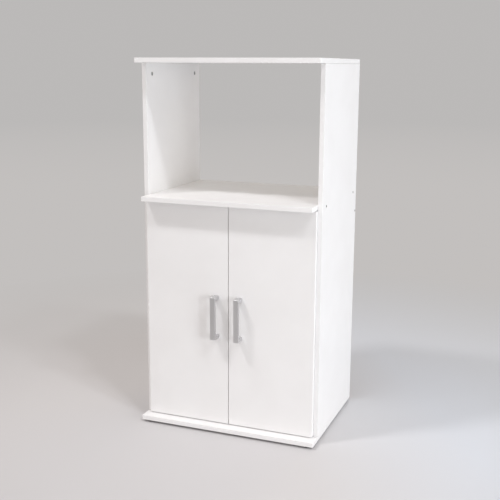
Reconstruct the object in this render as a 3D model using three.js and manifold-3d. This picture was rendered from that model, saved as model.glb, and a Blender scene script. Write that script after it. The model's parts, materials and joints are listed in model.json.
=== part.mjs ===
// A free-standing microwave cabinet in white melamine board: an open bay over a two-door cupboard.
// Millimetres, +Z up, the front faces -Y. The origin is on the floor, under the middle of the cabinet's box.
import * as THREE from 'three';
import { mergeVertices } from 'three/addons/utils/BufferGeometryUtils.js';
import Module from 'manifold-3d';

const wasm = await Module();
wasm.setup();

// ---- driving dimensions ----------------------------------------------------------------------

// overall
const WIDTH = 600; // outer faces of the side panels
const SIDE_DEPTH = 400; // side panels, front edge to rear edge
const HEIGHT = 1198; // floor to the top panel's upper face
const BOARD = 15; // melamine board
const SEAM = 0.3; // joint line between two boards

// boards that stand forward of the sides
const TOP_OVERHANG = 50;
const SHELF_OVERHANG = 54;
const BASE_OVERHANG = 50;
const SHELF_UNDERSIDE = 752; // height of the microwave shelf's lower face above the floor

// cupboard
const BACK_THICK = 3;
const GROOVE_DEPTH = 6;
const GROOVE_PLAY = 0.3; // back panel in its groove, each face
const GROOVE_END_PLAY = 1; // back panel to the groove's bottom, each side
const BACK_TO_RAIL = 1; // groove to the rear rail
const RAIL_HEIGHT = 120;
const INNER_SHELF_HEIGHT = 400; // height of the adjustable shelf's lower face
const INNER_SHELF_PLAY = 1; // each end
const INNER_SHELF_SETBACK = 30; // behind the sides' front edges

// doors
const DOOR_THICK = 15;
const DOOR_STANDOFF = 1; // between a closed door and the sides' front edges
const DOOR_OVERLAY = 1; // how far a door covers a side's front edge
const DOOR_SEAM = 2; // between the two doors
const DOOR_GAP = 2.5; // above and below a door

// handles
const HANDLE_LENGTH = 140;
const HANDLE_LEG = 12; // height of a leg, with the screw in its middle
const HANDLE_WIDTH = 17;
const HANDLE_THICK = 8;
const HANDLE_PROJECTION = 35;
const HANDLE_FROM_SEAM = 40; // seam to the handle's centre line
const HANDLE_MID_HEIGHT = 389;
const HANDLE_CORNER = 1.2;

// concealed hinges
const HINGE_FROM_END = 100; // hinge centre line to the door's end
const CUP_RADIUS = 17.5;
const CUP_DEPTH = 11;
const CUP_WALL = 1;
const CUP_EDGE = 5; // door's outer edge to the cup's bore
const CUP_ROUND = 36; // segments
const FLANGE_THICK = 0.6;
const FLANGE_WIDTH = 20;
const FLANGE_SPAN = 52;
const ARM_WIDTH = 14;
const ARM_HEIGHT = 7; // thickness of the arm over its plate
const ARM_LENGTH = 62; // from the side's front edge
const ARM_FROM_SIDE = 2; // the arm's heel, in front of its plate
const ARM_HEEL = 8; // from the plate forward to the heel
const NOSE_FROM_CUP_EDGE = 6; // the arm's nose in the cup
const NOSE_WIDTH = 15;
const NOSE_REACH = 6; // into the cup, past its flange
const NOSE_BACK = 3; // behind the side's front edge
const NOSE_SLOPE_END = 16;
const PLATE_THICK = 5;
const PLATE_FRONT = 24; // side's front edge to the plate
const PLATE_LENGTH = 36;
const PLATE_SPAN = 44;
const WING_LENGTH = 16;
const HINGE_PLAY = 0.3; // arm over plate and flange

// fastenings
const FIT = 0.25; // clearance of a fastening in its bore, each side
const FASTENER_INSET = 40; // from the sides' front and rear edges
const SHELF_SCREW = { head: 4.5, shank: 2.5, length: 48 };
const BASE_SCREW = { head: 4.5, shank: 2.5, length: 48 };
const RAIL_SCREW = { head: 4, shank: 2.25, length: 45 };
const HANDLE_SCREW = { head: 4, shank: 2, length: 22 };
const HEAD_CONE = 2.5; // depth of a countersunk head
const SOCKET_RADIUS = 2;
const SOCKET_DEPTH = 2;
const CAM_RADIUS = 6;
const CAM_PAST_BOLT = 3.5; // from the bolt's axis to the cam's inner end
const CAM_DROP = 34; // top panel's underside to the cam's centre
const CAM_SLOT_DEPTH = 1.2;
const CAM_SLOT_WIDTH = 2;
const CAM_RIM = 1.5; // metal left outside the slots
const CAM_PASSAGE_WALL = 2.5; // cam metal in front of the bolt's passage
const BOLT_RADIUS = 2.5;
const BOLT_HEAD_RADIUS = 3.2;
const BOLT_HEAD_LENGTH = 3;
const BOLT_THREAD = 11; // depth in the top panel
const PIN_RADIUS = 2.5;
const PIN_DEPTH = 9;
const PIN_REACH = 8;
const PIN_INSET = 37; // shelf pins from the inner shelf's front and rear edges
const GLIDE_RADIUS = 11;
const GLIDE_HEIGHT = 8;
const GLIDE_BEVEL = 1;
const GLIDE_INSET = 22; // from the base board's edges
const GLIDE_NAIL_RADIUS = 1.2;
const GLIDE_NAIL_LENGTH = 10;

const ROUND = 20; // segments of a small round piece
const THROUGH = 1; // how far a cut starts outside the face that it opens

// ---- planes worked out from them -------------------------------------------------------------

const halfWidth = WIDTH / 2;
const innerHalf = halfWidth - BOARD; // inner faces of the sides
const handleOverhang = DOOR_STANDOFF + DOOR_THICK + HANDLE_PROJECTION;
const frontOverhang = Math.max(TOP_OVERHANG, SHELF_OVERHANG, BASE_OVERHANG, handleOverhang);
const boxDepth = SIDE_DEPTH + frontOverhang;
const sideFront = frontOverhang - boxDepth / 2; // y of the sides' front edges
const sideRear = sideFront + SIDE_DEPTH;
const baseTop = GLIDE_HEIGHT + BOARD;
const topUnderside = HEIGHT - BOARD;
const sideBottom = baseTop + SEAM;
const sideTop = topUnderside - SEAM;
const shelfTop = SHELF_UNDERSIDE + BOARD;
const shelfMiddle = SHELF_UNDERSIDE + BOARD / 2;
const cupboardHigh = SHELF_UNDERSIDE - SEAM;
const grooveRear = sideRear - BOARD - BACK_TO_RAIL;
const backRear = grooveRear - GROOVE_PLAY;
const backFront = backRear - BACK_THICK;
const grooveFront = backFront - GROOVE_PLAY;
const railMiddle = cupboardHigh - RAIL_HEIGHT / 2;
const railScrewY = sideRear - BOARD / 2;
const doorBack = sideFront - DOOR_STANDOFF;
const doorFront = doorBack - DOOR_THICK;
const doorOuter = innerHalf + DOOR_OVERLAY;
const doorInner = DOOR_SEAM / 2;
const doorBottom = baseTop + DOOR_GAP;
const doorTop = SHELF_UNDERSIDE - DOOR_GAP;
const cupCentre = doorOuter - CUP_EDGE - CUP_RADIUS;
const handleScrewPitch = HANDLE_LENGTH - HANDLE_LEG;
const camDepth = BOARD / 2 + CAM_PAST_BOLT;
const fastenerRows = [sideFront + FASTENER_INSET, sideRear - FASTENER_INSET];
const hingeHeights = [doorBottom + HINGE_FROM_END, doorTop - HINGE_FROM_END];
const SIDES = [['left', -1], ['right', 1]];
const ROWS = ['front', 'rear'];

// ---- materials -------------------------------------------------------------------------------

function standard(color, roughness, metalness = 0) {
  return new THREE.MeshStandardMaterial({ color, roughness, metalness });
}
const melamine = () => standard(0xf1efec, 0.42);
const hardboard = () => standard(0xe6e2da, 0.7);
const satinNickel = () => standard(0xaca8a7, 0.38, 0.9);
const zincPlate = () => standard(0xb9bcc0, 0.45, 0.9);
const castZinc = () => standard(0x9c9ea1, 0.55, 0.8);
const blackGlide = () => standard(0x2c2c2e, 0.6);

// ---- solids ----------------------------------------------------------------------------------

// A closed three.js geometry as a solid that can be joined and cut.
function solid(geometry) {
  const bare = geometry.index ? geometry.toNonIndexed() : geometry;
  bare.deleteAttribute('normal');
  bare.deleteAttribute('uv');
  const merged = mergeVertices(bare, 1e-4);
  return new wasm.Manifold(new wasm.Mesh({
    numProp: 3,
    vertProperties: new Float32Array(merged.attributes.position.array),
    triVerts: new Uint32Array(merged.index.array),
  }));
}

function toGeometry(manifold) {
  const mesh = manifold.getMesh();
  const geometry = new THREE.BufferGeometry();
  geometry.setAttribute('position', new THREE.BufferAttribute(new Float32Array(mesh.vertProperties), 3));
  geometry.setIndex(new THREE.BufferAttribute(new Uint32Array(mesh.triVerts), 1));
  geometry.computeVertexNormals();
  return geometry;
}

function box(x0, x1, y0, y1, z0, z1) {
  const geometry = new THREE.BoxGeometry(Math.abs(x1 - x0), y1 - y0, z1 - z0);
  geometry.translate((x0 + x1) / 2, (y0 + y1) / 2, (z0 + z1) / 2);
  return solid(geometry);
}

// A turned solid: profile is [radius, distance] pairs from the axis and back to it. It is turned about
// the line through `at` along `direction`, and distance runs along that direction.
function turned(profile, at, direction, segments = ROUND) {
  const points = profile.map(([radius, along]) => new THREE.Vector2(radius, along));
  const geometry = new THREE.LatheGeometry(points, segments);
  const turn = new THREE.Quaternion();
  turn.setFromUnitVectors(new THREE.Vector3(0, 1, 0), new THREE.Vector3(...direction));
  geometry.applyQuaternion(turn);
  geometry.translate(...at);
  return solid(geometry);
}

function rod(radius, from, direction, length, segments = ROUND) {
  return turned([[0, 0], [radius, 0], [radius, length], [0, length]], from, direction, segments);
}

// A flat outline of [x, y] points, raised from z0 to z1.
function raised(outline, z0, z1) {
  const shape = new THREE.Shape(outline.map(([x, y]) => new THREE.Vector2(x, y)));
  const geometry = new THREE.ExtrudeGeometry(shape, { depth: z1 - z0, bevelEnabled: false });
  geometry.translate(0, 0, z0);
  return solid(geometry);
}

// ---- fastenings ------------------------------------------------------------------------------

// A countersunk screw whose head is flush at `at`, driven along `direction`, with a socket in its head.
function screw(size, at, direction) {
  const body = turned([
    [0, 0],
    [size.head, 0],
    [size.shank, HEAD_CONE],
    [size.shank, size.length - size.shank],
    [0, size.length],
  ], at, direction);
  return body.subtract(socket(at, direction));
}

// The point `distance` along `direction` from `at`.
function along(at, direction, distance) {
  return at.map((value, i) => value + distance * direction[i]);
}

// The hexagon socket in a screw's head.
function socket(at, direction) {
  return rod(SOCKET_RADIUS, along(at, direction, -THROUGH), direction, SOCKET_DEPTH + THROUGH, 6);
}

// The bore that a screw needs: its own form with FIT of clearance all round, open at the head.
function screwBore(size, at, direction) {
  return turned([
    [0, -THROUGH],
    [size.head + FIT, -THROUGH],
    [size.head + FIT, 0],
    [size.shank + FIT, HEAD_CONE + FIT],
    [size.shank + FIT, size.length + FIT],
    [0, size.length + FIT],
  ], at, direction);
}

// A screw with a flat pan head that stands behind `at`, driven along `direction`.
function panScrew(size, at, direction) {
  const body = turned([
    [0, -HEAD_CONE],
    [size.head, -HEAD_CONE],
    [size.head, 0],
    [size.shank, 0],
    [size.shank, size.length],
    [0, size.length],
  ], at, direction);
  return body.subtract(socket(along(at, direction, -HEAD_CONE), direction));
}

// The fastenings that join the carcass, as { name, at, direction, size } lists.
function carcassScrews() {
  const list = [];
  for (const [side, sign] of SIDES) {
    const face = sign * halfWidth;
    ROWS.forEach((row, i) => {
      list.push({
        name: `${side}_${row}_shelf_screw`,
        at: [face, fastenerRows[i], shelfMiddle],
        direction: [-sign, 0, 0],
        size: SHELF_SCREW,
      });
      list.push({
        name: `${side}_${row}_base_screw`,
        at: [sign * (halfWidth - BOARD / 2), fastenerRows[i], GLIDE_HEIGHT],
        direction: [0, 0, 1],
        size: BASE_SCREW,
      });
    });
    list.push({
      name: `${side}_rail_screw`,
      at: [face, railScrewY, railMiddle],
      direction: [-sign, 0, 0],
      size: RAIL_SCREW,
    });
  }
  return list;
}

// Cam locks: a housing in each side's inner face, and a bolt down from the top panel into it.
function camPlaces() {
  const list = [];
  for (const [side, sign] of SIDES) {
    ROWS.forEach((row, i) => {
      list.push({
        name: `${side}_${row}`,
        sign,
        y: fastenerRows[i],
        boltX: sign * (halfWidth - BOARD / 2),
        z: topUnderside - CAM_DROP,
      });
    });
  }
  return list;
}

function camLock(place) {
  const face = place.sign * innerHalf;
  const housing = rod(CAM_RADIUS, [face, place.y, place.z], [place.sign, 0, 0], camDepth);
  const slotReach = CAM_RADIUS - CAM_RIM;
  const slot = box(
    face - place.sign * THROUGH,
    face + place.sign * CAM_SLOT_DEPTH,
    place.y - slotReach, place.y + slotReach,
    place.z - CAM_SLOT_WIDTH / 2, place.z + CAM_SLOT_WIDTH / 2,
  );
  const crossSlot = box(
    face - place.sign * THROUGH,
    face + place.sign * CAM_SLOT_DEPTH,
    place.y - CAM_SLOT_WIDTH / 2, place.y + CAM_SLOT_WIDTH / 2,
    place.z - slotReach, place.z + slotReach,
  );
  const passage = box(
    face + place.sign * CAM_PASSAGE_WALL,
    face + place.sign * (camDepth + THROUGH),
    place.y - BOLT_HEAD_RADIUS - FIT, place.y + BOLT_HEAD_RADIUS + FIT,
    place.z - BOLT_HEAD_LENGTH / 2 - FIT, place.z + CAM_RADIUS + THROUGH,
  );
  return housing.subtract(slot).subtract(crossSlot).subtract(passage);
}

function camBolt(place) {
  const headLow = place.z - BOLT_HEAD_LENGTH / 2;
  const headHigh = place.z + BOLT_HEAD_LENGTH / 2;
  return turned([
    [0, headLow],
    [BOLT_HEAD_RADIUS, headLow],
    [BOLT_HEAD_RADIUS, headHigh],
    [BOLT_RADIUS, headHigh],
    [BOLT_RADIUS, topUnderside + BOLT_THREAD],
    [0, topUnderside + BOLT_THREAD],
  ], [place.boltX, place.y, 0], [0, 0, 1]);
}

// ---- boards ----------------------------------------------------------------------------------

const innerShelf = {
  half: innerHalf - INNER_SHELF_PLAY,
  front: sideFront + INNER_SHELF_SETBACK,
  rear: backFront - INNER_SHELF_PLAY,
};

function shelfPins() {
  const list = [];
  const rows = [innerShelf.front + PIN_INSET, innerShelf.rear - PIN_INSET];
  for (const [side, sign] of SIDES) {
    ROWS.forEach((row, i) => {
      list.push({ name: `${side}_${row}_shelf_pin`, sign, y: rows[i] });
    });
  }
  return list;
}

const pinHeight = INNER_SHELF_HEIGHT - SEAM - PIN_RADIUS;

// The hinge plate's two screws: their heights from the hinge's centre line.
const plateFastenings = [-PLATE_SPAN / 2 + WING_LENGTH / 2, PLATE_SPAN / 2 - WING_LENGTH / 2];

function cutFastenings(board) {
  let result = board;
  for (const { size, at, direction } of carcassScrews()) {
    result = result.subtract(screwBore(size, at, direction));
  }
  return result;
}

function topPanel() {
  let board = box(-halfWidth, halfWidth, sideFront - TOP_OVERHANG, sideRear, topUnderside, HEIGHT);
  for (const place of camPlaces()) {
    const start = [place.boltX, place.y, topUnderside - THROUGH];
    board = board.subtract(rod(BOLT_RADIUS + FIT, start, [0, 0, 1], BOLT_THREAD + THROUGH + FIT));
  }
  return board;
}

function sidePanel(sign) {
  const inner = sign * innerHalf;
  const outer = sign * halfWidth;
  let board = box(inner, outer, sideFront, sideRear, sideBottom, sideTop);
  board = cutFastenings(board);
  for (const place of camPlaces().filter((entry) => entry.sign === sign)) {
    const mouth = [inner - sign * THROUGH, place.y, place.z];
    board = board.subtract(rod(CAM_RADIUS + FIT, mouth, [sign, 0, 0], camDepth + THROUGH + FIT));
    const underHead = BOLT_HEAD_LENGTH / 2 + FIT;
    const shaft = [place.boltX, place.y, place.z - underHead];
    const shaftLength = underHead + CAM_DROP + THROUGH;
    board = board.subtract(rod(BOLT_HEAD_RADIUS + FIT, shaft, [0, 0, 1], shaftLength));
  }
  for (const pin of shelfPins().filter((entry) => entry.sign === sign)) {
    const mouth = [inner - sign * THROUGH, pin.y, pinHeight];
    board = board.subtract(rod(PIN_RADIUS + FIT, mouth, [sign, 0, 0], PIN_DEPTH + THROUGH + FIT));
  }
  const groove = box(
    inner - sign * THROUGH, inner + sign * GROOVE_DEPTH,
    grooveFront, grooveRear,
    sideBottom - THROUGH, cupboardHigh,
  );
  return board.subtract(groove);
}

function microwaveShelf() {
  const half = innerHalf - SEAM;
  return cutFastenings(
    box(-half, half, sideFront - SHELF_OVERHANG, sideRear, SHELF_UNDERSIDE, shelfTop),
  );
}

function basePanel() {
  let board = box(-halfWidth, halfWidth, sideFront - BASE_OVERHANG, sideRear, GLIDE_HEIGHT, baseTop);
  board = cutFastenings(board);
  for (const [x, y] of glidePlaces().map((glide) => glide.at)) {
    const nail = [x, y, GLIDE_HEIGHT - THROUGH];
    const depth = GLIDE_NAIL_LENGTH + THROUGH + FIT;
    board = board.subtract(rod(GLIDE_NAIL_RADIUS + FIT, nail, [0, 0, 1], depth));
  }
  return board;
}

function rearRail() {
  const half = innerHalf - SEAM;
  return cutFastenings(
    box(-half, half, sideRear - BOARD, sideRear, cupboardHigh - RAIL_HEIGHT, cupboardHigh),
  );
}

function backPanel() {
  const half = innerHalf + GROOVE_DEPTH - GROOVE_END_PLAY;
  return box(-half, half, backFront, backRear, sideBottom, cupboardHigh - SEAM);
}

function innerShelfBoard() {
  const low = INNER_SHELF_HEIGHT;
  return box(-innerShelf.half, innerShelf.half, innerShelf.front, innerShelf.rear, low, low + BOARD);
}

function shelfPin({ sign, y }) {
  const start = [sign * (innerHalf - PIN_REACH), y, pinHeight];
  return rod(PIN_RADIUS, start, [sign, 0, 0], PIN_REACH + PIN_DEPTH);
}

// ---- glides ----------------------------------------------------------------------------------

function glidePlaces() {
  const rows = [sideFront - BASE_OVERHANG + GLIDE_INSET, sideRear - GLIDE_INSET];
  const list = [];
  for (const [side, sign] of SIDES) {
    ROWS.forEach((row, i) => {
      list.push({ name: `${side}_${row}_glide`, at: [sign * (halfWidth - GLIDE_INSET), rows[i]] });
    });
  }
  return list;
}

function glide({ at: [x, y] }) {
  return turned([
    [0, 0],
    [GLIDE_RADIUS - GLIDE_BEVEL, 0],
    [GLIDE_RADIUS, GLIDE_BEVEL],
    [GLIDE_RADIUS, GLIDE_HEIGHT - SEAM],
    [GLIDE_NAIL_RADIUS, GLIDE_HEIGHT - SEAM],
    [GLIDE_NAIL_RADIUS, GLIDE_HEIGHT + GLIDE_NAIL_LENGTH],
    [0, GLIDE_HEIGHT + GLIDE_NAIL_LENGTH],
  ], [x, y, 0], [0, 0, 1]);
}

// ---- doors -----------------------------------------------------------------------------------

// how far a handle screw reaches into the handle's leg
const handleScrewGrip = HANDLE_SCREW.length - DOOR_THICK - SEAM;
const handleScrewHeights = [-1, 1].map((end) => HANDLE_MID_HEIGHT + (end * handleScrewPitch) / 2);

function door(sign) {
  const outer = sign * doorOuter;
  const inner = sign * doorInner;
  let board = box(inner, outer, doorFront, doorBack, doorBottom, doorTop);
  for (const height of hingeHeights) {
    const mouth = [sign * cupCentre, doorBack + THROUGH, height];
    const bore = rod(CUP_RADIUS + FIT, mouth, [0, -1, 0], CUP_DEPTH + THROUGH + FIT, CUP_ROUND);
    board = board.subtract(bore);
  }
  for (const height of handleScrewHeights) {
    const start = [sign * HANDLE_FROM_SEAM, doorBack + THROUGH, height];
    board = board.subtract(rod(HANDLE_SCREW.shank + FIT, start, [0, -1, 0], DOOR_THICK + 2 * THROUGH));
  }
  return board;
}

// A flat bar with two legs: the bar's front corners are rounded, and each leg is bored for its screw.
function handle(sign) {
  const middle = sign * HANDLE_FROM_SEAM;
  const root = doorFront - SEAM;
  const face = doorFront - HANDLE_PROJECTION;
  const low = HANDLE_MID_HEIGHT - HANDLE_LENGTH / 2;
  const high = HANDLE_MID_HEIGHT + HANDLE_LENGTH / 2;
  const outline = new THREE.Shape();
  // drawn in the (y, z) plane: the outer line first, then back along the inside of the grip
  outline.moveTo(root, low);
  outline.lineTo(root, low + HANDLE_LEG);
  outline.lineTo(face + HANDLE_THICK, low + HANDLE_LEG);
  outline.lineTo(face + HANDLE_THICK, high - HANDLE_LEG);
  outline.lineTo(root, high - HANDLE_LEG);
  outline.lineTo(root, high);
  outline.lineTo(face + HANDLE_CORNER, high);
  outline.quadraticCurveTo(face, high, face, high - HANDLE_CORNER);
  outline.lineTo(face, low + HANDLE_CORNER);
  outline.quadraticCurveTo(face, low, face + HANDLE_CORNER, low);
  outline.closePath();
  const geometry = new THREE.ExtrudeGeometry(outline, {
    depth: HANDLE_WIDTH,
    bevelEnabled: false,
    curveSegments: 4,
  });
  // the outline's x and y become the cabinet's y and z, and its depth becomes x
  geometry.applyMatrix4(new THREE.Matrix4().set(0, 0, 1, 0, 1, 0, 0, 0, 0, 1, 0, 0, 0, 0, 0, 1));
  geometry.translate(middle - HANDLE_WIDTH / 2, 0, 0);
  let bar = solid(geometry);
  for (const height of handleScrewHeights) {
    const start = [middle, root + THROUGH, height];
    bar = bar.subtract(rod(HANDLE_SCREW.shank + FIT, start, [0, -1, 0], handleScrewGrip + THROUGH + FIT));
  }
  return bar;
}

// ---- concealed hinges ------------------------------------------------------------------------

// The cup sits in the door's back, with a thin flange that lies on it.
function hingeCup(sign, height) {
  const centre = [sign * cupCentre, doorBack, height];
  const flangeBack = doorBack + FLANGE_THICK + SEAM;
  const shell = turned([
    [0, -CUP_DEPTH],
    [CUP_RADIUS, -CUP_DEPTH],
    [CUP_RADIUS, SEAM + FLANGE_THICK],
    [0, SEAM + FLANGE_THICK],
  ], centre, [0, 1, 0], CUP_ROUND);
  const flange = box(
    sign * cupCentre - FLANGE_WIDTH / 2, sign * cupCentre + FLANGE_WIDTH / 2,
    doorBack + SEAM, flangeBack,
    height - FLANGE_SPAN / 2, height + FLANGE_SPAN / 2,
  );
  const pocket = turned([
    [0, CUP_WALL - CUP_DEPTH],
    [CUP_RADIUS - CUP_WALL, CUP_WALL - CUP_DEPTH],
    [CUP_RADIUS - CUP_WALL, SEAM + FLANGE_THICK + THROUGH],
    [0, SEAM + FLANGE_THICK + THROUGH],
  ], centre, [0, 1, 0], CUP_ROUND);
  return shell.add(flange).subtract(pocket);
}

// The arm lies over the mounting plate and reaches forward and in, into the cup.
function hingeArm(sign, height) {
  const at = (fromSide, fromFront) => [sign * (innerHalf - fromSide), sideFront + fromFront];
  const over = PLATE_THICK + SEAM + HINGE_PLAY;
  const flangeBack = FLANGE_THICK + SEAM - DOOR_STANDOFF;
  const seat = flangeBack + HINGE_PLAY;
  const noseOuter = CUP_EDGE - DOOR_OVERLAY + NOSE_FROM_CUP_EDGE;
  const noseInner = noseOuter + NOSE_WIDTH;
  const outline = [
    at(over, ARM_LENGTH),
    at(over, PLATE_FRONT - ARM_HEEL / 2),
    at(ARM_FROM_SIDE, PLATE_FRONT - ARM_HEEL),
    at(ARM_FROM_SIDE, seat),
    at(noseOuter, seat),
    at(noseOuter, seat - NOSE_REACH),
    at(noseInner, seat - NOSE_REACH),
    at(noseInner, NOSE_BACK),
    at(over + ARM_HEIGHT, NOSE_SLOPE_END),
    at(over + ARM_HEIGHT, ARM_LENGTH),
  ];
  return raised(outline, height - ARM_WIDTH / 2, height + ARM_WIDTH / 2);
}

// The cross-shaped mounting plate, on the side's inner face.
function hingePlate(sign, height) {
  const inner = sign * (innerHalf - SEAM);
  const over = sign * (innerHalf - SEAM - PLATE_THICK);
  const wing = sign * (innerHalf - SEAM - PLATE_THICK / 2);
  const front = sideFront + PLATE_FRONT;
  const saddle = box(
    inner, over,
    front, front + PLATE_LENGTH,
    height - ARM_WIDTH / 2, height + ARM_WIDTH / 2,
  );
  const wingFront = front + (PLATE_LENGTH - WING_LENGTH) / 2;
  const wings = box(
    inner, wing,
    wingFront, wingFront + WING_LENGTH,
    height - PLATE_SPAN / 2, height + PLATE_SPAN / 2,
  );
  let plate = saddle.add(wings);
  for (const offset of plateFastenings) {
    const start = [wing - sign * THROUGH, wingFront + WING_LENGTH / 2, height + offset];
    plate = plate.subtract(rod(SOCKET_RADIUS, start, [sign, 0, 0], THROUGH + PLATE_THICK / 4));
  }
  return plate;
}

// ---- the cabinet -----------------------------------------------------------------------------

const cabinet = new THREE.Group();

function place(name, manifold, material) {
  const geometry = toGeometry(manifold);
  geometry.computeBoundingBox();
  const centre = geometry.boundingBox.getCenter(new THREE.Vector3());
  geometry.translate(-centre.x, -centre.y, -centre.z);
  const mesh = new THREE.Mesh(geometry, material);
  mesh.name = name;
  mesh.position.copy(centre);
  cabinet.add(mesh);
}

place('top_panel', topPanel(), melamine());
place('microwave_shelf', microwaveShelf(), melamine());
place('base_panel', basePanel(), melamine());
place('rear_rail', rearRail(), melamine());
place('back_panel', backPanel(), hardboard());
place('inner_shelf', innerShelfBoard(), melamine());

for (const [side, sign] of SIDES) {
  place(`${side}_side_panel`, sidePanel(sign), melamine());
  place(`${side}_door`, door(sign), melamine());
  place(`${side}_handle`, handle(sign), satinNickel());
  ['lower', 'upper'].forEach((end, i) => {
    const handleScrewAt = [sign * HANDLE_FROM_SEAM, doorBack + SEAM, handleScrewHeights[i]];
    place(`${side}_${end}_handle_screw`, panScrew(HANDLE_SCREW, handleScrewAt, [0, -1, 0]), zincPlate());
    place(`${side}_${end}_hinge_cup`, hingeCup(sign, hingeHeights[i]), zincPlate());
    place(`${side}_${end}_hinge_arm`, hingeArm(sign, hingeHeights[i]), zincPlate());
    place(`${side}_${end}_hinge_plate`, hingePlate(sign, hingeHeights[i]), zincPlate());
  });
}

for (const { name, size, at, direction } of carcassScrews()) {
  place(name, screw(size, at, direction), zincPlate());
}
for (const camPlace of camPlaces()) {
  place(`${camPlace.name}_cam_lock`, camLock(camPlace), castZinc());
  place(`${camPlace.name}_cam_bolt`, camBolt(camPlace), zincPlate());
}
for (const pin of shelfPins()) place(pin.name, shelfPin(pin), zincPlate());
for (const entry of glidePlaces()) place(entry.name, glide(entry), blackGlide());

export default cabinet;
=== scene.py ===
import json
import math
import bmesh
import bpy
from mathutils import Matrix, Vector


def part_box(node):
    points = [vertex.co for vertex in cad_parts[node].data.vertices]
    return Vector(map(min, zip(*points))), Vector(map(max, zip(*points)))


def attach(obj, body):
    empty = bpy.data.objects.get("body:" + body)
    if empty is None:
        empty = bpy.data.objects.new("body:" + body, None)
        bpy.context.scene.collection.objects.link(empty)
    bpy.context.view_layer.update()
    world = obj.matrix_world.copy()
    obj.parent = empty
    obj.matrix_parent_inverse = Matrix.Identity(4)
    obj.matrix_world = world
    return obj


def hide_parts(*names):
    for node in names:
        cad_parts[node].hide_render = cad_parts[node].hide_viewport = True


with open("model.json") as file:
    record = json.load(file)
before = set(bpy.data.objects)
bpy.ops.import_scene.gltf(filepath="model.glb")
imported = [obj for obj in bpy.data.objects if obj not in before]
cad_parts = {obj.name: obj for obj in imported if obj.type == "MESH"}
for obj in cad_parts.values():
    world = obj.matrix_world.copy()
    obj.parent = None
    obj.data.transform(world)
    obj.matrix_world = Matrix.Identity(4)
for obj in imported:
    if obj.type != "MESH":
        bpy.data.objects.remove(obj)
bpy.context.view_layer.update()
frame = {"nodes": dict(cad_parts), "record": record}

CAMERA_PLACE = (1.0043, -2.5883, 1.1730)
CAMERA_TURN = 21.202
CAMERA_DROP = 12.213
CAMERA_ROLL = 0.276
LENS_MM = 61.06
SENSOR_MM = 36.0
NEAREST = 0.05
FARTHEST = 400.0

camera_data = bpy.data.cameras.new("camera")
camera_data.sensor_fit = "HORIZONTAL"
camera_data.sensor_width = SENSOR_MM
camera_data.lens = LENS_MM
camera_data.clip_start = NEAREST
camera_data.clip_end = FARTHEST
camera = bpy.data.objects.new("camera", camera_data)
bpy.context.scene.collection.objects.link(camera)
aim = (
    Matrix.Rotation(math.radians(CAMERA_TURN), 4, "Z")
    @ Matrix.Rotation(math.radians(90.0 - CAMERA_DROP), 4, "X")
    @ Matrix.Rotation(math.radians(CAMERA_ROLL), 4, "Z")
)
camera.matrix_world = Matrix.Translation(CAMERA_PLACE) @ aim
bpy.context.scene.camera = camera

# ---- floor and studio light ------------------------------------------------------------------
# A pale studio floor that runs out to the same grey as the air behind it. Its colour holds a painted
# pool of light near the cabinet and painted cool light on its right. Three softboxes hang high in
# front of the cabinet, three stand low on its right, and a weak one hangs behind it.
STUDIO_GREY = (0.500, 0.488, 0.482, 1.0)
SOFT_AIR = (0.612, 0.574, 0.554, 1.0)
# Painted light: the floor's colour runs from lighter near the cabinet to darker further out, a
# painted pool of light.
PAINTED_LIGHT_NEAR = (0.600, 0.588, 0.590, 1.0)
PAINTED_SHADE_FAR = (0.50, 0.49, 0.485, 1.0)
PAINTED_LIGHT_REACH = 4.0
# Painted light: the floor is tinted cooler and brighter to the cabinet's right, painted cool light in
# the cabinet's shadow there.
PAINTED_COOL_LIGHT = (1.02, 1.09, 1.17, 1.0)
TO_THE_RIGHT = (1.0, 0.6, 0.0)
COOL_LIGHT_FROM, COOL_LIGHT_TO = 0.10, 0.75
HAZE_NEAR = (0.545, 0.526, 0.516, 1.0)
HAZE_REACH = 20.0
FADE_FROM, FADE_TO = 0.8, 2.2
FLOOR_RADIUS = 180.0
bpy.context.scene.view_settings.view_transform = "Standard"


def new_material(name):
    """A material, its node tree, and the Principled shader in it."""
    material = bpy.data.materials.new(name)
    material.use_nodes = True
    tree = material.node_tree
    return material, tree, tree.nodes["Principled BSDF"]


def add_node(tree, kind, **settings):
    """A node of that kind, with its properties and, by input name, its values."""
    node = tree.nodes.new(kind)
    for key, value in settings.items():
        if hasattr(node, key):
            setattr(node, key, value)
        else:
            node.inputs[key.replace("_", " ")].default_value = value
    return node


def blend_colours(tree, factor, low, high, start=0.35, end=0.65):
    """A colour that runs from low to high as the factor goes from start to end."""
    ramp = add_node(tree, "ShaderNodeValToRGB")
    stops = ramp.color_ramp.elements
    for stop, place, colour in zip(stops, (start, end), (low, high)):
        stop.position = place
        stop.color = (*colour[:3], 1.0)
    tree.links.new(factor, ramp.inputs["Fac"])
    return ramp.outputs["Color"]


def sees_background(tree):
    """1 for a ray that shows the background: the camera's own, or one off metal or through glass."""
    path = add_node(tree, "ShaderNodeLightPath")
    value = path.outputs["Is Camera Ray"]
    for kind in ("Is Glossy Ray", "Is Transmission Ray"):
        either = add_node(tree, "ShaderNodeMath", operation="MAXIMUM")
        tree.links.new(value, either.inputs[0])
        tree.links.new(path.outputs[kind], either.inputs[1])
        value = either.outputs["Value"]
    return value


world = bpy.data.worlds.new("studio")
bpy.context.scene.world = world
world.use_nodes = True
world_tree = world.node_tree
air = world_tree.nodes["Background"]
air.inputs["Color"].default_value = SOFT_AIR
air.inputs["Strength"].default_value = 1.0
seen_air = add_node(world_tree, "ShaderNodeBackground", Color=STUDIO_GREY)
world_mix = add_node(world_tree, "ShaderNodeMixShader")
world_link = world_tree.links.new
world_link(sees_background(world_tree), world_mix.inputs["Fac"])
world_link(air.outputs["Background"], world_mix.inputs[1])
world_link(seen_air.outputs["Background"], world_mix.inputs[2])
world_link(world_mix.outputs["Shader"], world_tree.nodes["World Output"].inputs["Surface"])


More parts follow.
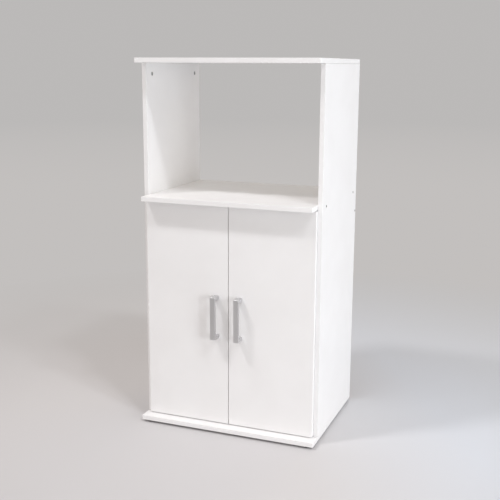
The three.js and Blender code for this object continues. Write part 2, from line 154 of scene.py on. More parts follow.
def studio_floor():
    """The floor: shaded by the lamps near the cabinet, where its colour adds a painted pool of light
    and painted cool light, and fading to the studio's grey further out.
    """
    material, tree, paint = new_material("studio_floor")
    link = tree.links.new
    place = add_node(tree, "ShaderNodeTexCoord")
    length = add_node(tree, "ShaderNodeVectorMath", operation="LENGTH")
    link(place.outputs["Object"], length.inputs[0])
    reach = add_node(tree, "ShaderNodeMapRange", From_Max=PAINTED_LIGHT_REACH)
    link(length.outputs["Value"], reach.inputs["Value"])
    # Painted pool of light: a lighter colour near the cabinet and a darker one further out.
    shade = blend_colours(tree, reach.outputs["Result"], PAINTED_LIGHT_NEAR, PAINTED_SHADE_FAR, 0.1, 0.6)
    # Painted cool light: a cooler, brighter tint towards the right.
    rightward = add_node(tree, "ShaderNodeVectorMath", operation="DOT_PRODUCT")
    rightward.inputs[1].default_value = TO_THE_RIGHT
    link(place.outputs["Object"], rightward.inputs[0])
    cool_light_fade = add_node(tree, "ShaderNodeMapRange", From_Min=COOL_LIGHT_FROM, From_Max=COOL_LIGHT_TO)
    link(rightward.outputs["Value"], cool_light_fade.inputs["Value"])
    cool_light_tint = add_node(tree, "ShaderNodeMix", data_type="RGBA", blend_type="MULTIPLY")
    cool_light_tint.inputs[7].default_value = PAINTED_COOL_LIGHT
    link(cool_light_fade.outputs["Result"], cool_light_tint.inputs[0])
    link(shade, cool_light_tint.inputs[6])
    link(cool_light_tint.outputs[2], paint.inputs["Base Color"])
    paint.inputs["Roughness"].default_value = 0.6
    paint.inputs["Specular IOR Level"].default_value = 0.3
    seen = add_node(tree, "ShaderNodeEmission")
    far = add_node(tree, "ShaderNodeMapRange", From_Max=HAZE_REACH)
    link(length.outputs["Value"], far.inputs["Value"])
    haze = blend_colours(tree, far.outputs["Result"], HAZE_NEAR, STUDIO_GREY, 0.3, 0.8)
    link(haze, seen.inputs["Color"])
    fade = add_node(tree, "ShaderNodeMapRange", From_Min=FADE_FROM, From_Max=FADE_TO)
    link(length.outputs["Value"], fade.inputs["Value"])
    only_seen = add_node(tree, "ShaderNodeMath", operation="MULTIPLY")
    link(fade.outputs["Result"], only_seen.inputs[0])
    link(sees_background(tree), only_seen.inputs[1])
    mix = add_node(tree, "ShaderNodeMixShader")
    link(only_seen.outputs["Value"], mix.inputs["Fac"])
    link(paint.outputs["BSDF"], mix.inputs[1])
    link(seen.outputs["Emission"], mix.inputs[2])
    link(mix.outputs["Shader"], tree.nodes["Material Output"].inputs["Surface"])
    mesh = bpy.data.meshes.new("floor")
    grid = bmesh.new()
    bmesh.ops.create_circle(grid, cap_ends=True, segments=96, radius=FLOOR_RADIUS)
    grid.to_mesh(mesh)
    grid.free()
    mesh.materials.append(material)
    floor = bpy.data.objects.new("floor", mesh)
    bpy.context.scene.collection.objects.link(floor)


studio_floor()

UPPER_FRONT = (0.0, -0.2, 0.7)
LOWER_FRONT = (0.0, -0.2, 0.6)
RIGHT_SIDE = (0.3, 0.0, 0.6)
BAY_REAR = (0.0, 0.0, 1.0)


def softbox(name, place, target, watts, width, height, colour=(1.0, 1.0, 1.0)):
    """An area lamp at a place, turned to a target."""
    lamp = bpy.data.lights.new(name, "AREA")
    lamp.color = colour
    lamp.shape = "RECTANGLE"
    lamp.size = width
    lamp.size_y = height
    lamp.energy = watts
    holder = bpy.data.objects.new(name, lamp)
    bpy.context.scene.collection.objects.link(holder)
    toward = Vector(target) - Vector(place)
    holder.location = place
    holder.rotation_mode = "QUATERNION"
    holder.rotation_quaternion = toward.to_track_quat("-Z", "Y")


softbox("high_left", (-2.8, -2.68, 6.4), UPPER_FRONT, 144.0, 0.8, 0.6, (0.99, 0.965, 0.97))
softbox("high_right", (3.0, -2.68, 6.4), UPPER_FRONT, 78.0, 0.6, 0.6, (1.0, 1.01, 1.06))
softbox("high_far_right", (4.8, -2.68, 6.4), UPPER_FRONT, 76.0, 0.6, 0.6, (1.0, 1.05, 1.10))
softbox("low_right_front", (2.75, -1.98, 0.7), LOWER_FRONT, 19.5, 0.35, 0.9, (0.97, 1.0, 1.05))
softbox("tall_right_front", (3.1, -1.5, 1.2), LOWER_FRONT, 11.5, 0.5, 0.9)
softbox("low_right", (3.3, -0.5, 0.7), RIGHT_SIDE, 13.5, 2.2, 1.3, (0.98, 1.06, 1.14))
softbox("high_rear", (0.6, 2.6, 3.2), BAY_REAR, 12.0, 1.5, 1.5, (1.0, 0.86, 0.62))

# ---- boards ----------------------------------------------------------------------------------
# Chipboard with a white melamine face, finely pearled, and a 1 mm plastic band glued round its
# edges with its arrises eased. Each board keeps the bores and the groove of its CAD solid.
BAND = 0.0010
GLUE = 0.00012
BAND_EASE = 0.0008
BOARD_CORNER = 0.0016
SHRINK = 0.00002
MELAMINE_GLOSS = 0.38


def object_place(tree, scale=(1.0, 1.0, 1.0)):
    """Object coordinates, scaled."""
    place = add_node(tree, "ShaderNodeTexCoord")
    stretch = add_node(tree, "ShaderNodeMapping", Scale=scale)
    tree.links.new(place.outputs["Object"], stretch.inputs["Vector"])
    return stretch.outputs["Vector"]


def noise(tree, scale, detail=2.0, roughness=0.5, stretch=(1.0, 1.0, 1.0)):
    """A noise value, from 0 to 1, of that many waves a metre."""
    node = add_node(tree, "ShaderNodeTexNoise", Scale=scale, Detail=detail, Roughness=roughness)
    tree.links.new(object_place(tree, stretch), node.inputs["Vector"])
    return node.outputs["Fac"]


def blend_values(tree, factor, low, high):
    """A value that runs from low to high over the middle of the factor's range."""
    span = add_node(tree, "ShaderNodeMapRange", From_Min=0.3, From_Max=0.7, To_Min=low, To_Max=high)
    tree.links.new(factor, span.inputs["Value"])
    return span.outputs["Result"]


def bump(tree, shader, height, distance, strength=1.0):
    """Adds a bump, over any that the shader has already."""
    node = add_node(tree, "ShaderNodeBump", Strength=strength, Distance=distance)
    tree.links.new(height, node.inputs["Height"])
    earlier = shader.inputs["Normal"].links
    if earlier:
        tree.links.new(earlier[0].from_socket, node.inputs["Normal"])
    tree.links.new(node.outputs["Normal"], shader.inputs["Normal"])


def white_face():
    material, tree, shader = new_material("melamine_face")
    link = tree.links.new
    cloud = noise(tree, 9.0, 3.0)
    white = blend_colours(tree, cloud, (0.850, 0.844, 0.838), (0.870, 0.865, 0.860))
    link(white, shader.inputs["Base Color"])
    link(blend_values(tree, noise(tree, 30.0, 3.0), 0.34, 0.44), shader.inputs["Roughness"])
    shader.inputs["Specular IOR Level"].default_value = MELAMINE_GLOSS
    bump(tree, shader, noise(tree, 1300.0, 2.0), 0.00002, 0.5)
    bump(tree, shader, noise(tree, 45.0, 1.0), 0.00010, 0.25)
    return material


def white_band():
    material, tree, shader = new_material("white_edge_band")
    link = tree.links.new
    cloud = noise(tree, 14.0, 3.0)
    white = blend_colours(tree, cloud, (0.854, 0.848, 0.842), (0.876, 0.871, 0.866))
    link(white, shader.inputs["Base Color"])
    link(blend_values(tree, noise(tree, 60.0, 2.0), 0.30, 0.38), shader.inputs["Roughness"])
    shader.inputs["Specular IOR Level"].default_value = MELAMINE_GLOSS
    bump(tree, shader, noise(tree, 700.0, 1.0), 0.00001, 0.4)
    return material


def glue_line():
    material, tree, shader = new_material("band_glue_line")
    cloud = noise(tree, 400.0, 2.0)
    beige = blend_colours(tree, cloud, (0.40, 0.36, 0.30), (0.66, 0.63, 0.58))
    tree.links.new(beige, shader.inputs["Base Color"])
    shader.inputs["Roughness"].default_value = 0.7
    return material


def chipboard():
    material, tree, shader = new_material("raw_chipboard")
    link = tree.links.new
    flakes = add_node(tree, "ShaderNodeTexVoronoi", Scale=520.0, Randomness=1.0)
    link(object_place(tree, (1.0, 1.0, 2.2)), flakes.inputs["Vector"])
    tone = add_node(tree, "ShaderNodeSeparateColor")
    link(flakes.outputs["Color"], tone.inputs["Color"])
    wood = blend_colours(
        tree, tone.outputs["Red"], (0.30, 0.19, 0.105), (0.62, 0.46, 0.29), 0.05, 0.95
    )
    link(wood, shader.inputs["Base Color"])
    shader.inputs["Roughness"].default_value = 0.85
    bump(tree, shader, flakes.outputs["Distance"], 0.00018, 0.8)
    bump(tree, shader, noise(tree, 2600.0, 2.0), 0.00005, 0.5)
    return material


BOARD_FINISH = [white_face(), white_band(), glue_line(), chipboard()]
FACE_FINISH, BAND_FINISH, GLUE_FINISH, RAW_FINISH = range(4)


def show(name, mesh, body):
    """An object of that mesh, which rides on a CAD body."""
    piece = bpy.data.objects.new(name, mesh)
    bpy.context.scene.collection.objects.link(piece)
    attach(piece, body)
    return piece


def combine(mesh, other, operation):
    """The mesh joined, cut or limited by the other, as a new mesh."""
    left = bpy.data.objects.new("left", mesh)
    right = bpy.data.objects.new("right", other)
    bpy.context.scene.collection.objects.link(left)
    bpy.context.scene.collection.objects.link(right)
    change = left.modifiers.new("change", "BOOLEAN")
    change.operation = operation
    change.solver = "EXACT"
    change.material_mode = "TRANSFER"
    change.object = right
    bpy.context.view_layer.update()
    seen = left.evaluated_get(bpy.context.evaluated_depsgraph_get())
    result = bpy.data.meshes.new_from_object(seen)
    bpy.data.objects.remove(left)
    bpy.data.objects.remove(right)
    return result


def smooth(mesh, degrees=38.0):
    """Shades the mesh smooth, apart from its straight faces and edges sharper than that."""
    mesh.set_sharp_from_angle(angle=math.radians(degrees))
    for face in mesh.polygons:
        face.use_smooth = max(abs(face.normal.x), abs(face.normal.y), abs(face.normal.z)) < 0.9999


def cad_copy(node, finish):
    """A welded copy of a CAD node's mesh."""
    shape = bmesh.new()
    shape.from_mesh(frame["nodes"][node].data)
    bmesh.ops.remove_doubles(shape, verts=shape.verts, dist=1e-6)
    copy = bpy.data.meshes.new(node + "_copy")
    shape.to_mesh(copy)
    shape.free()
    copy.materials.clear()
    copy.materials.append(finish)
    return copy


def straight_block(low, high):
    """A straight block between two corners."""
    low, high = Vector(low), Vector(high)
    shape = bmesh.new()
    bmesh.ops.create_cube(shape, size=1.0)
    bmesh.ops.scale(shape, verts=shape.verts, vec=high - low)
    bmesh.ops.translate(shape, verts=shape.verts, vec=(low + high) / 2)
    return shape


def bevel(shape, edges, width, segments):
    """Rounds those edges."""
    bmesh.ops.bevel(
        shape, geom=edges, offset=width, offset_type="OFFSET", segments=segments,
        profile=0.5, affect="EDGES", material=-1, clamp_overlap=False,
    )


def edges_along(shape, axis):
    """The edges that run along an axis."""
    runs = [(edge, edge.verts[1].co - edge.verts[0].co) for edge in shape.edges]
    return [edge for edge, run in runs if abs(run[axis]) > 0.999 * run.length]


def faces_across(shape, axis):
    """The flat faces that look along an axis, either way."""
    return [face for face in shape.faces if abs(face.normal[axis]) > 0.9999]


def banded_board(node, raw=()):
    """A board in a CAD node's place. raw names the edges left without a band, such as '+y'."""
    low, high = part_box(node)
    low = low + Vector((SHRINK,) * 3)
    high = high - Vector((SHRINK,) * 3)
    size = high - low
    thin = min(range(3), key=lambda i: size[i])
    shape = straight_block(low, high)
    bevel(shape, edges_along(shape, thin), BOARD_CORNER, 4)
    for face in shape.faces:
        face.material_index = BAND_FINISH
    rims = {edge for face in faces_across(shape, thin) for edge in face.edges}
    bevel(shape, list(rims), BAND_EASE, 3)
    faces = faces_across(shape, thin)
    bmesh.ops.inset_region(shape, faces=faces, thickness=BAND - BAND_EASE, use_even_offset=True)
    line = bmesh.ops.inset_region(shape, faces=faces, thickness=GLUE, use_even_offset=True)
    for face in faces:
        face.material_index = FACE_FINISH
    for face in line["faces"]:
        face.material_index = GLUE_FINISH
    bmesh.ops.recalc_face_normals(shape, faces=shape.faces)
    for face in shape.faces:
        spot = face.calc_center_median()
        for edge in raw:
            axis = "xyz".index(edge[1])
            end = high[axis] if edge[0] == "+" else low[axis]
            if abs(spot[axis] - end) < BAND + GLUE and face.material_index != FACE_FINISH:
                is_end = abs(face.normal[axis]) > 0.5
                face.material_index = RAW_FINISH if is_end else FACE_FINISH
    mesh = bpy.data.meshes.new(node + "_board")
    shape.to_mesh(mesh)
    shape.free()
    for finish in BOARD_FINISH:
        mesh.materials.append(finish)
    mesh = combine(mesh, cad_copy(node, BOARD_FINISH[RAW_FINISH]), "INTERSECT")
    smooth(mesh)
    return mesh


BODY_OF = {
    node: body
    for body, members in frame["record"]["behaviour"]["bodies"].items()
    for node in members
}


def stand_for(node, name, mesh):
    """Shows a mesh in a CAD node's stead, on the same body."""
    piece = show(name, mesh, BODY_OF[node])
    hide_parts(node)
    return piece


for node in ("top_panel", "microwave_shelf", "base_panel", "left_side_panel", "right_side_panel"):
    stand_for(node, node + "_board", banded_board(node, raw=("+y",)))
stand_for("inner_shelf", "inner_shelf_board", banded_board("inner_shelf", raw=("+y",)))
stand_for("rear_rail", "rear_rail_board", banded_board("rear_rail"))
for side in ("left", "right"):
    stand_for(side + "_door", side + "_door_board", banded_board(side + "_door"))

# ---- back panel ------------------------------------------------------------------------------
# A 3 mm hardboard sheet that stands in grooves in the side panels, behind the inner shelf. Its
# front is lacquered white. Its rear is the bare brown fibre, with the print of the press's mesh.
def white_lacquer():
    material, tree, shader = new_material("white_lacquer")
    link = tree.links.new
    white = blend_colours(tree, noise(tree, 7.0, 4.0), (0.795, 0.785, 0.762), (0.825, 0.816, 0.795))
    link(white, shader.inputs["Base Color"])
    link(blend_values(tree, noise(tree, 40.0, 2.0), 0.50, 0.62), shader.inputs["Roughness"])
    bump(tree, shader, noise(tree, 420.0, 3.0), 0.00004, 0.6)
    return material


def bare_hardboard():
    material, tree, shader = new_material("bare_hardboard")
    link = tree.links.new
    fibre = noise(tree, 900.0, 4.0, 0.6, (1.0, 1.0, 0.35))
    brown = blend_colours(tree, fibre, (0.150, 0.080, 0.042), (0.285, 0.170, 0.095), 0.30, 0.70)
    link(brown, shader.inputs["Base Color"])
    shader.inputs["Roughness"].default_value = 0.8
    for turn in ((0.0, 0.0, 0.0), (0.0, math.radians(90.0), 0.0)):
        mesh_print = add_node(tree, "ShaderNodeTexWave", Scale=165.0, Distortion=0.6, Detail=1.0)
        turned_place = add_node(tree, "ShaderNodeMapping", Rotation=turn)
        link(object_place(tree), turned_place.inputs["Vector"])
        link(turned_place.outputs["Vector"], mesh_print.inputs["Vector"])
        bump(tree, shader, mesh_print.outputs["Fac"], 0.00016, 0.7)
    bump(tree, shader, fibre, 0.00008, 0.6)
    return material


def to_mesh(name, shape, *materials):
    """A bmesh as a mesh with those materials, its faces turned outward."""
    bmesh.ops.recalc_face_normals(shape, faces=shape.faces)
    mesh = bpy.data.meshes.new(name)
    shape.to_mesh(mesh)
    shape.free()
    for material in materials:
        mesh.materials.append(material)
    return mesh


def ease_edges(shape, width, segments=3, sharper_than=30.0):
    """Rounds a bmesh's edges that turn by more than that angle."""
    least = math.radians(sharper_than)
    bevel(shape, [edge for edge in shape.edges if edge.calc_face_angle(0.0) > least], width, segments)


low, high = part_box("back_panel")
sheet = straight_block(low, high)
ease_edges(sheet, 0.0003)
sheet_mesh = to_mesh("back_panel_sheet", sheet, white_lacquer(), bare_hardboard())
for face in sheet_mesh.polygons:
    face.material_index = 0 if face.normal.y < -0.6 else 1
smooth(sheet_mesh)
stand_for("back_panel", "back_panel_sheet", sheet_mesh)

# ---- handles ---------------------------------------------------------------------------------
# Each door has a flat bar handle of cast zinc, satin nickel plated and brushed along its length,
# on two square legs. Two pan-head screws come through the door from behind into the legs.
HANDLE_CORNER = 0.0014
HANDLE_SOFT = 0.0007
HANDLE_LEG = 0.012
HANDLE_THICK = 0.008
HANDLE_SCREW_DOME = 0.0025


def brushed_nickel():
    material, tree, shader = new_material("brushed_nickel")
    link = tree.links.new
    brushing = noise(tree, 2400.0, 3.0, 0.6, (1.0, 1.0, 0.02))
    cloud = noise(tree, 60.0, 2.0, 0.5, (1.0, 1.0, 0.3))
    nickel = blend_colours(tree, cloud, (0.656, 0.655, 0.662), (0.696, 0.695, 0.702))
    link(nickel, shader.inputs["Base Color"])
    shader.inputs["Metallic"].default_value = 1.0
    link(blend_values(tree, brushing, 0.29, 0.38), shader.inputs["Roughness"])
    bump(tree, shader, brushing, 0.00002, 0.35)
    return material


def zinc_plating():
    material, tree, shader = new_material("zinc_plating")
    link = tree.links.new
    cloud = noise(tree, 260.0, 3.0)
    zinc = blend_colours(tree, cloud, (0.520, 0.530, 0.550), (0.640, 0.635, 0.610))
    link(zinc, shader.inputs["Base Color"])
    shader.inputs["Metallic"].default_value = 1.0
    link(blend_values(tree, noise(tree, 900.0, 2.0), 0.30, 0.46), shader.inputs["Roughness"])
    bump(tree, shader, noise(tree, 2200.0, 2.0), 0.00003, 0.4)
    return material


# Painted shade: a near-black colour for the faces inside screw recesses and sockets, where shade
# falls.
def painted_recess_shade():
    material, tree, shader = new_material("painted_shade_in_recess")
    link = tree.links.new
    painted_shade = blend_colours(tree, noise(tree, 900.0, 3.0), (0.030, 0.030, 0.032), (0.085, 0.083, 0.080))
    link(painted_shade, shader.inputs["Base Color"])
    link(blend_values(tree, noise(tree, 1400.0, 2.0), 0.55, 0.75), shader.inputs["Roughness"])
    return material


NICKEL = brushed_nickel()
ZINC = zinc_plating()
RECESS_SHADE = painted_recess_shade()


def turned(profile, steps=48):
    """A bmesh turned about +Z from (radius, height) points that start and end on the axis."""
    shape = bmesh.new()
    points = [shape.verts.new((radius, 0.0, height)) for radius, height in profile]
    lines = [shape.edges.new(ends) for ends in zip(points, points[1:])]
    bmesh.ops.spin(
        shape, geom=points + lines, cent=(0.0, 0.0, 0.0), axis=(0.0, 0.0, 1.0),
        dvec=(0.0, 0.0, 0.0), angle=2.0 * math.pi, steps=steps, use_merge=True,
    )
    bmesh.ops.remove_doubles(shape, verts=shape.verts, dist=1e-7)
    return shape


def prism(outline, axis, low, high):
    """A flat outline raised along an axis. Its points are in the two other axes, in xyz order."""
    first, second = [i for i in range(3) if i != axis]
    shape = bmesh.new()
    corners = []
    for u, v in outline:
        place = Vector()
        place[first], place[second], place[axis] = u, v, low
        corners.append(shape.verts.new(place))
    raised = bmesh.ops.extrude_face_region(shape, geom=[shape.faces.new(corners)])
    rise = Vector()
    rise[axis] = high - low
    ends = [part for part in raised["geom"] if isinstance(part, bmesh.types.BMVert)]
    bmesh.ops.translate(shape, verts=ends, vec=rise)
    bmesh.ops.recalc_face_normals(shape, faces=shape.faces)
    return shape


def block(half_u, half_v, low, high):
    """A straight block about +Z, from low to high."""
    return straight_block((-half_u, -half_v, low), (half_u, half_v, high))


def cut(mesh, *cutters, finish=None):
    """The mesh with each bmesh cut out of it, and the cut faces in that finish."""
    for cutter in cutters:
        tool = to_mesh("tool", cutter, finish or mesh.materials[0])
        mesh = combine(mesh, tool, "DIFFERENCE")
    return mesh


def placed(mesh, place, direction):
    """A copy of a mesh made about +Z, set at a place with its +Z along a direction."""
    copy = mesh.copy()
    turn = Vector((0.0, 0.0, 1.0)).rotation_difference(Vector(direction))
    copy.transform(Matrix.Translation(place) @ turn.to_matrix().to_4x4())
    return copy


def merged(name, *meshes):
    """One mesh of them all, each face in its own finish."""
    finishes = list(dict.fromkeys(finish for mesh in meshes for finish in mesh.materials))
    shape = bmesh.new()
    for mesh in meshes:
        first = len(shape.faces)
        shape.from_mesh(mesh)
        shape.faces.ensure_lookup_table()
        for face in shape.faces[first:]:
            face.material_index = finishes.index(mesh.materials[face.material_index])
    whole = bpy.data.meshes.new(name)
    shape.to_mesh(whole)
    shape.free()
    for finish in finishes:
        whole.materials.append(finish)
    smooth(whole)
    return whole


def pan_head(radius, height, shank, length, finish):
    """A screw with a domed head above z = 0, its shank below, and a cross recess in the head; the
    recess is in painted shade.
    """
    shape = turned((
        (0.0, height),
        (radius * 0.45, height * 0.98),
        (radius * 0.75, height * 0.82),
        (radius * 0.93, height * 0.50),
        (radius, height * 0.12),
        (radius * 0.98, 0.0),
        (shank, 0.0),
        (shank, -length + shank),
        (0.0, -length),
    ))
    mesh = to_mesh("pan_head", shape, finish)
    arm, narrow = radius * 0.62, radius * 0.15
    recess = block(arm, narrow, height * 0.45, height * 1.5)
    cross = block(narrow, arm, height * 0.45, height * 1.5)
    return cut(mesh, recess, cross, finish=RECESS_SHADE)


HANDLE_SCREW = pan_head(
    radius=0.0040, height=HANDLE_SCREW_DOME, shank=0.0020, length=0.0220, finish=ZINC
)


def bar_handle(node):
    """The bar and its legs, softened inside the CAD handle, with its screws' bores."""
    low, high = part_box(node)
    gap = Vector((SHRINK,) * 3)
    low, high = low + gap, high - gap
    inside = low.y + HANDLE_THICK
    lower, upper = low.z + HANDLE_LEG, high.z - HANDLE_LEG
    shape = prism((
        (high.y, low.z), (high.y, lower), (inside, lower), (inside, upper),
        (high.y, upper), (high.y, high.z), (low.y, high.z), (low.y, low.z),
    ), 0, low.x, high.x)
    outer = [edge for edge in edges_along(shape, 0) if edge.verts[0].co.y < low.y + 0.0001]
    bevel(shape, outer, HANDLE_CORNER, 4)
    ease_edges(shape, HANDLE_SOFT)
    mesh = to_mesh(node + "_bar", shape, NICKEL)
    mesh = combine(mesh, cad_copy(node, NICKEL), "INTERSECT")
    smooth(mesh)
    return mesh


for side in ("left", "right"):
    stand_for(side + "_handle", side + "_handle_bar", bar_handle(side + "_handle"))
    for end in ("lower", "upper"):
        node = f"{side}_{end}_handle_screw"
        low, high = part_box(node)
        seat = ((low.x + high.x) / 2, high.y - HANDLE_SCREW_DOME, (low.z + high.z) / 2)
        screw = placed(HANDLE_SCREW, seat, (0.0, 1.0, 0.0))
        smooth(screw)
        stand_for(node, node + "_turned", screw)

# ---- hinges ----------------------------------------------------------------------------------
# Concealed hinges of nickel-plated pressed steel. A drawn cup is let into the door's back and
# screwed through its flange, and a folded arm on a cross plate reaches from the side into it.
INNER_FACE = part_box("right_side_panel")[0].x
SIDE_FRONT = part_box("right_side_panel")[0].y
CUP_RADIUS = 0.0175
CUP_DEPTH = 0.0110
CUP_PROUD = 0.0009
FLANGE_HALF_WIDTH, FLANGE_HALF_LENGTH = 0.0100, 0.0260
FLANGE_LOW, FLANGE_TOP = 0.0003, 0.00085
FLANGE_CORNER = 0.0075
FLANGE_SCREW = 0.0212
ARM_STANDS = 0.0126
ARM_HALF = 0.0070
LINK_HALF = 0.0050
SLOT_FLOOR = 0.0117
SLOT_HALF_WIDTH = 0.0023
ROUND_SLOT, LONG_SLOT = (SIDE_FRONT + 0.026, 0.0024), (SIDE_FRONT + 0.049, 0.0068)
PIN_RADIUS = 0.0015
PLATE_GAP = 0.0003
PLATE_MIDDLE = SIDE_FRONT + 0.042
PLATE_SCREW_AT = 0.014
SADDLE_THICK = 0.0050
WING_THICK = 0.0025


def pressed_steel():
    material, tree, shader = new_material("nickel_plated_steel")
    link = tree.links.new
    cloud = noise(tree, 120.0, 3.0)
    steel = blend_colours(tree, cloud, (0.650, 0.640, 0.624), (0.676, 0.666, 0.650))
    link(steel, shader.inputs["Base Color"])
    shader.inputs["Metallic"].default_value = 1.0
    link(blend_values(tree, noise(tree, 500.0, 3.0), 0.25, 0.31), shader.inputs["Roughness"])
    bump(tree, shader, noise(tree, 140.0, 1.0), 0.00002, 0.12)
    return material


STEEL = pressed_steel()
SMALL_SCREW = pan_head(radius=0.0034, height=0.0011, shank=0.0015, length=0.0030, finish=STEEL)
PLATE_SCREW = pan_head(radius=0.0040, height=0.0012, shank=0.0020, length=0.0024, finish=STEEL)


def hinge_cup():
    """The cup and its flange about +Z, with the door's back at z = 0 and its length along y."""
    pot = turned((
        (0.0, -CUP_DEPTH), (0.0160, -CUP_DEPTH), (0.0169, -0.0107), (0.0174, -0.0100),
        (CUP_RADIUS, -0.0092), (CUP_RADIUS, 0.0006), (0.0174, 0.0008), (0.0171, CUP_PROUD),
        (0.0167, 0.0008), (0.0165, 0.0005), (0.0164, -0.0088), (0.0160, -0.0096), (0.0152, -0.0099),
        (0.0082, -0.0099), (0.0075, -0.0095), (0.0, -0.0095),
    ), 72)
    plate = block(FLANGE_HALF_WIDTH, FLANGE_HALF_LENGTH, FLANGE_LOW, FLANGE_TOP)
    bevel(plate, edges_along(plate, 2), FLANGE_CORNER, 8)
    ease_edges(plate, 0.00015, 2)
    flange = cut(to_mesh("flange", plate, STEEL), turned((
        (0.0, -0.001), (0.0168, -0.001), (0.0168, 0.002), (0.0, 0.002),
    ), 72))
    seats = [(0.0, y, FLANGE_TOP) for y in (-FLANGE_SCREW, FLANGE_SCREW)]
    screws = [placed(SMALL_SCREW, seat, (0.0, 0.0, 1.0)) for seat in seats]
    return merged("hinge_cup", to_mesh("pot", pot, STEEL), flange, *screws)


def hinge_arm(sign, height):
    """The arm from its plate to the cup, its two pins, and the screws that adjust it."""
    def plan(points):
        """Places seen from above, from millimetres in from the side and back from its front."""
        return [
            (sign * (INNER_FACE - side / 1000.0), SIDE_FRONT + front / 1000.0)
            for side, front in points
        ]

    body = prism(plan((
        (5.6, 62.0), (5.6, 20.0), (2.4, 16.0), (2.4, 3.4), (4.4, 1.2), (11.6, 1.2), (15.0, 9.0),
        (12.6, 16.0), (12.6, 62.0),
    )), 2, height - ARM_HALF, height + ARM_HALF)
    ease_edges(body, 0.0008, 3, 20.0)
    body_mesh = to_mesh("arm_body", body, STEEL)
    face = sign * (INNER_FACE - ARM_STANDS)
    ends = sorted((sign * (INNER_FACE - SLOT_FLOOR), face * 0.98))
    for spot, half in (ROUND_SLOT, LONG_SLOT):
        slot = straight_block(
            (ends[0], spot - half, height - SLOT_HALF_WIDTH),
            (ends[1], spot + half, height + SLOT_HALF_WIDTH),
        )
        bevel(slot, edges_along(slot, 0), 0.0022, 6)
        body_mesh = cut(body_mesh, slot)
    link = prism(plan((
        (10.6, 0.8), (10.6, -5.4), (12.0, -5.7), (23.4, -5.7), (24.8, -4.4), (24.8, 2.6),
        (14.6, 13.4), (11.4, 13.4),
    )), 2, height - LINK_HALF, height + LINK_HALF)
    ease_edges(link, 0.0007, 3, 20.0)
    meshes = [body_mesh, to_mesh("link", link, STEEL)]
    for side, front, half in ((12.2, 7.6, 0.0074), (21.2, -2.4, 0.0054)):
        pin = turned((
            (0.0, -half), (0.0011, -half), (PIN_RADIUS, -half + 0.0003), (PIN_RADIUS, half - 0.0003),
            (0.0011, half), (0.0, half),
        ), 24)
        (x, y), = plan(((side, front),))
        meshes.append(placed(to_mesh("pin", pin, STEEL), (x, y, height), (0.0, 0.0, 1.0)))
    for spot, _ in (ROUND_SLOT, LONG_SLOT):
        meshes.append(placed(SMALL_SCREW, (face, spot, height), (-sign, 0.0, 0.0)))
    return merged("hinge_arm", *meshes)


def hinge_plate(sign, height):
    """The cross plate on the side panel, with its two screws."""
    meshes = []
    foot = INNER_FACE - PLATE_GAP
    saddle = (0.018, 0.007, 0.0015, SADDLE_THICK)
    wings = (0.008, 0.022, 0.006, WING_THICK)
    for half_y, half_z, radius, thick in (saddle, wings):
        ends = sorted((sign * foot, sign * (foot - thick)))
        shape = straight_block(
            (ends[0], PLATE_MIDDLE - half_y, height - half_z),
            (ends[1], PLATE_MIDDLE + half_y, height + half_z),
        )
        bevel(shape, edges_along(shape, 0), radius, 6)
        ease_edges(shape, 0.0006)
        meshes.append(to_mesh("plate", shape, STEEL))
    for z in (-PLATE_SCREW_AT, PLATE_SCREW_AT):
        seat = (sign * (foot - WING_THICK), PLATE_MIDDLE, height + z)
        meshes.append(placed(PLATE_SCREW, seat, (-sign, 0.0, 0.0)))
    return merged("hinge_plate", *meshes)


CUP = hinge_cup()
for side, sign in (("left", -1), ("right", 1)):
    for end in ("lower", "upper"):
        start = f"{side}_{end}_hinge_"
        low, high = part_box(start + "cup")
        height = (low.z + high.z) / 2
        cup = placed(CUP, ((low.x + high.x) / 2, high.y - CUP_PROUD, height), (0.0, 1.0, 0.0))
        smooth(cup)
        stand_for(start + "cup", start + "cup_drawn", cup)
        stand_for(start + "arm", start + "arm_folded", hinge_arm(sign, height))
        stand_for(start + "plate", start + "plate_pressed", hinge_plate(sign, height))

# ---- carcass fastenings ----------------------------------------------------------------------
# Zinc-plated countersunk screws with hexagon sockets hold the shelf, base and rail, flush with
# the boards. Cast cam locks in the sides hold bolts from the top, and steel pins hold the shelf.
def cast_metal():
    material, tree, shader = new_material("cast_zinc_alloy")
    link = tree.links.new
    cloud = noise(tree, 420.0, 4.0)
    grey = blend_colours(tree, cloud, (0.400, 0.405, 0.412), (0.500, 0.502, 0.505))
    link(grey, shader.inputs["Base Color"])
    shader.inputs["Metallic"].default_value = 1.0
    link(blend_values(tree, noise(tree, 700.0, 2.0), 0.46, 0.62), shader.inputs["Roughness"])
    bump(tree, shader, noise(tree, 1500.0, 3.0), 0.00006, 0.6)
    return material


CAST = cast_metal()
SUNK = 0.00004
SOCKET_RADIUS = 0.0029
SOCKET_DEPTH = 0.0020
CAM_RADIUS = 0.0060
CAM_DEPTH = 0.0109
CAM_SLOT_HALF, CAM_SLOT_HALF_WIDTH, CAM_SLOT_DEPTH = 0.0045, 0.0010, 0.0012
PASSAGE_FROM, PASSAGE_TO = 0.0025, 0.0120
PASSAGE_HALF = 0.00345
PASSAGE_BELOW, PASSAGE_ABOVE = 0.00175, 0.007
SHELF_PIN_RADIUS = 0.0025
COLLAR_RADIUS = 0.0035


def socket_screw(head, shank, length):
    """A countersunk screw about +Z that goes down from its flush head at z = 0; its socket is in
    painted shade.
    """
    shape = turned((
        (0.0, -SUNK), (head - 0.0004, -SUNK), (head - 0.0001, -0.0002), (head - 0.0001, -0.0004),
        (shank, -0.0025), (shank, shank - length), (0.0, -length),
    ))
    socket = bmesh.new()
    bmesh.ops.create_cone(
        socket, cap_ends=True, segments=6, radius1=SOCKET_RADIUS, radius2=SOCKET_RADIUS,
        depth=2.0 * SOCKET_DEPTH,
    )
    mesh = cut(to_mesh("socket_screw", shape, ZINC), socket, finish=RECESS_SHADE)
    smooth(mesh)
    return mesh


